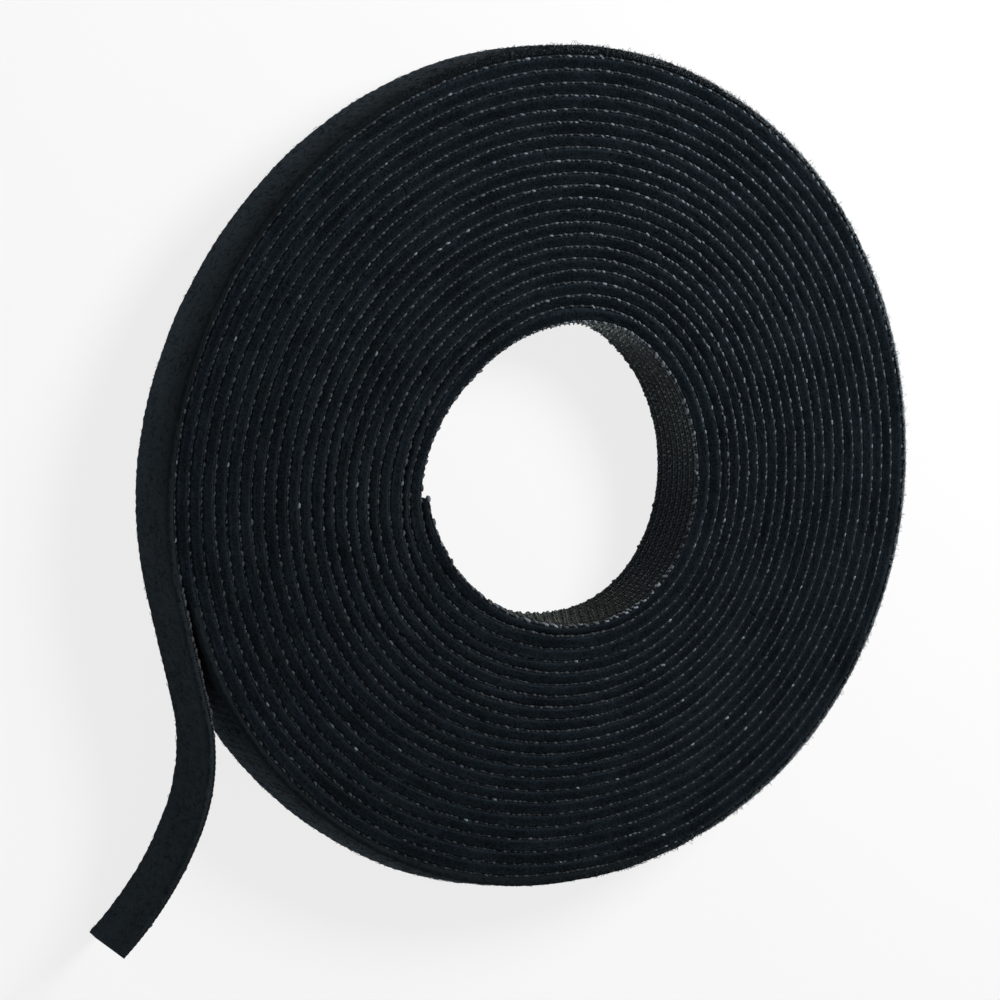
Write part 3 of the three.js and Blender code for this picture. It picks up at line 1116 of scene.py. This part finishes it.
def make_floor():
    mesh = bpy.data.meshes.new("floor")
    corners = [(x * FLOOR_HALF, y * FLOOR_HALF, 0) for x, y in ((-1, -1), (1, -1), (1, 1), (-1, 1))]
    mesh.from_pydata(corners, [], [(0, 1, 2, 3)])
    floor = add("floor", mesh)
    floor.data.materials.append(floor_material())


def lamp(name, place, width, power):
    """A round lamp that faces the roll."""
    data = bpy.data.lights.new(name, "AREA")
    data.shape = "DISK"
    data.size = width
    data.energy = power
    made = add(name, data)
    made.location = place
    made.rotation_euler = (-Vector(place)).to_track_quat("-Z", "Y").to_euler()


def light_scene():
    world = bpy.data.worlds.new("studio")
    bpy.context.scene.world = world
    world.use_nodes = True
    shading = Shading(world.node_tree)
    background = shading.nodes["Background"]
    background.inputs["Color"].default_value = (1, 1, 1, 1)
    shading.feed(background.inputs["Strength"], shading.between(seen_directly(shading), WORLD_LIGHT, 1.0))
    for row in LAMPS:
        lamp(*row)


# The tape, piece by piece

def dress(pieces, material):
    for piece in pieces:
        piece.data.materials.append(material)


def hook_side(part, start, end):
    """Ground, cross bars and hooks that can be seen, for one stretch of the tape."""
    first, last = start + HOOK_MARGINS[0], end - HOOK_MARGINS[1]
    rows = np.arange(math.ceil(first / HOOK_ROW_PITCH) * HOOK_ROW_PITCH, last, HOOK_ROW_PITCH)
    return [
        strip(f"{part}_ground", spaced(start, end, BORE_STEP), woven_section(), weave_relief),
        cross_bars(f"{part}_cross_bars", first, last),
        hooks(f"{part}_hooks", rows),
    ]


def selvedges(part, start, end):
    """Edge yarn on one stretch of the tape, plainer on its lower edge."""
    return [
        edge_yarn(f"{part}_selvedge_upper", start, end, True, rings=6, sides=5),
        edge_yarn(f"{part}_selvedge_lower", start, end, False, rings=5, sides=4),
    ]


def make_hook_strip():
    """The inner strip: woven with hooks where it shows, else plain, and yarn along its edges."""
    bore = hook_side("bore_turn", 0, FIRST_TURN_END)
    tail = hook_side("tail_hook", COIL_END, TAIL_END)
    plain_ground = strip("coil_hook_ground", spaced(FIRST_TURN_END, COIL_END, GROUND_STEP), plain_section())
    coil_selvedges = selvedges("inner_turns", 0, COIL_MIDDLE)
    coil_selvedges += selvedges("outer_turns", COIL_MIDDLE, COIL_END)
    tail_selvedges = selvedges("tail", COIL_END, TAIL_END)
    dress(bore[:2] + tail[:2], weave_material())
    dress([plain_ground], pile_material("ground_edge", GROUND_EDGE_COLOURS, EVEN_LIGHTNESS))
    dress([bore[2], tail[2]], hook_material())
    dress(coil_selvedges + tail_selvedges, yarn_material())
    return bore, plain_ground, coil_selvedges, tail, tail_selvedges


def make_loop_strip(thirds):
    """The outer strip: pile in three pieces up to the last turn, the last turn, the tail and loops."""
    pressed = pile_section(PRESSED_FACE_POINTS)
    free = pile_section(FREE_FACE_POINTS)
    names = ("coil_loop_strip", "middle_turns_loop_strip", "outer_turns_loop_strip")
    wound_pile = [
        strip(name, spaced(start, end, WOUND_PILE_STEP), pressed, pile_relief)
        for name, start, end in zip(names, thirds, thirds[1:])
    ]
    last_turn = spaced(LAST_TURN_START, COIL_END, LAST_PILE_STEP)
    last_pile = strip("last_turn_loop_strip", last_turn, free, pile_relief)
    tail_pile = strip("tail_loop_strip", spaced(COIL_END, TAIL_END, TAIL_PILE_STEP), free, pile_relief)
    wound_loops = [
        edge_loops("inner_turns_edge_loops", 0, COIL_MIDDLE, 7000, seed=41),
        edge_loops("outer_turns_edge_loops", COIL_MIDDLE, COIL_END, 7000, seed=42),
        edge_loops("lower_edge_loops", 0, COIL_END, 5000, seed=43, upper=False),
    ]
    last_loops = [
        face_loops("last_turn_loops", LAST_TURN_START, COIL_END, 7000, seed=31),
        rim_fluff("last_turn_fluff", 6500, seed=33),
    ]
    inside = (COIL_END + TAIL_LOOP_MARGINS[0], TAIL_END - TAIL_LOOP_MARGINS[1])
    tail_loops = [
        face_loops("tail_loops", *inside, 1000, seed=32),
        edge_loops("tail_edge_loops", *inside, 300, seed=44),
    ]

    pressed_fluff = pile_material("loop_pile", PILE_COLOURS, COIL_LIGHTNESS_AND_BOUNCE, adjust=lighter_borders)
    last_fluff = pile_material("outer_pile", WALL_COLOURS, LAST_TURN_LIGHTNESS_AND_BOUNCE, WALL_CONTRAST, lighter_start)
    tail_fluff = pile_material("tail_pile", WALL_COLOURS, TAIL_LIGHTNESS_AND_BOUNCE, WALL_CONTRAST)
    fluff = pile_material("stray_fluff_and_glare", FLUFF_AND_GLARE_COLOURS, EVEN_LIGHTNESS, FLUFF_CONTRAST, toned=True)
    filament = pile_material("pile_filament", FILAMENT_COLOURS, FILAMENT_LIGHTNESS_AND_BOUNCE, toned=True)
    dress(wound_pile, pressed_fluff)
    dress([last_pile], last_fluff)
    dress([tail_pile], tail_fluff)
    dress(last_loops[:1], last_fluff)
    dress(last_loops[1:], fluff)
    dress(tail_loops[:1], tail_fluff)
    dress(wound_loops + tail_loops[1:], filament)
    return wound_pile, wound_loops, last_pile, last_loops, tail_pile, tail_loops


def make_tape():
    thirds = np.linspace(0, LAST_TURN_START, 4)
    bore, plain_ground, coil_selvedges, tail, tail_selvedges = make_hook_strip()
    wound_pile, wound_loops, last_pile, last_loops, tail_pile, tail_loops = make_loop_strip(thirds)

    on_roll = bore + [plain_ground, last_pile] + coil_selvedges + wound_pile + wound_loops + last_loops
    for piece in on_roll:
        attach(piece, "roll")
    for piece in tail + tail_selvedges + [tail_pile] + tail_loops:
        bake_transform(piece)

    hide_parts("coil_hook_layer")
    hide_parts("coil_loop_layer")
    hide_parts("tail_hook_layer")
    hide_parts("tail_loop_layer")


bpy.context.scene.view_settings.view_transform = "Standard"
make_camera()
make_floor()
light_scene()
make_tape()
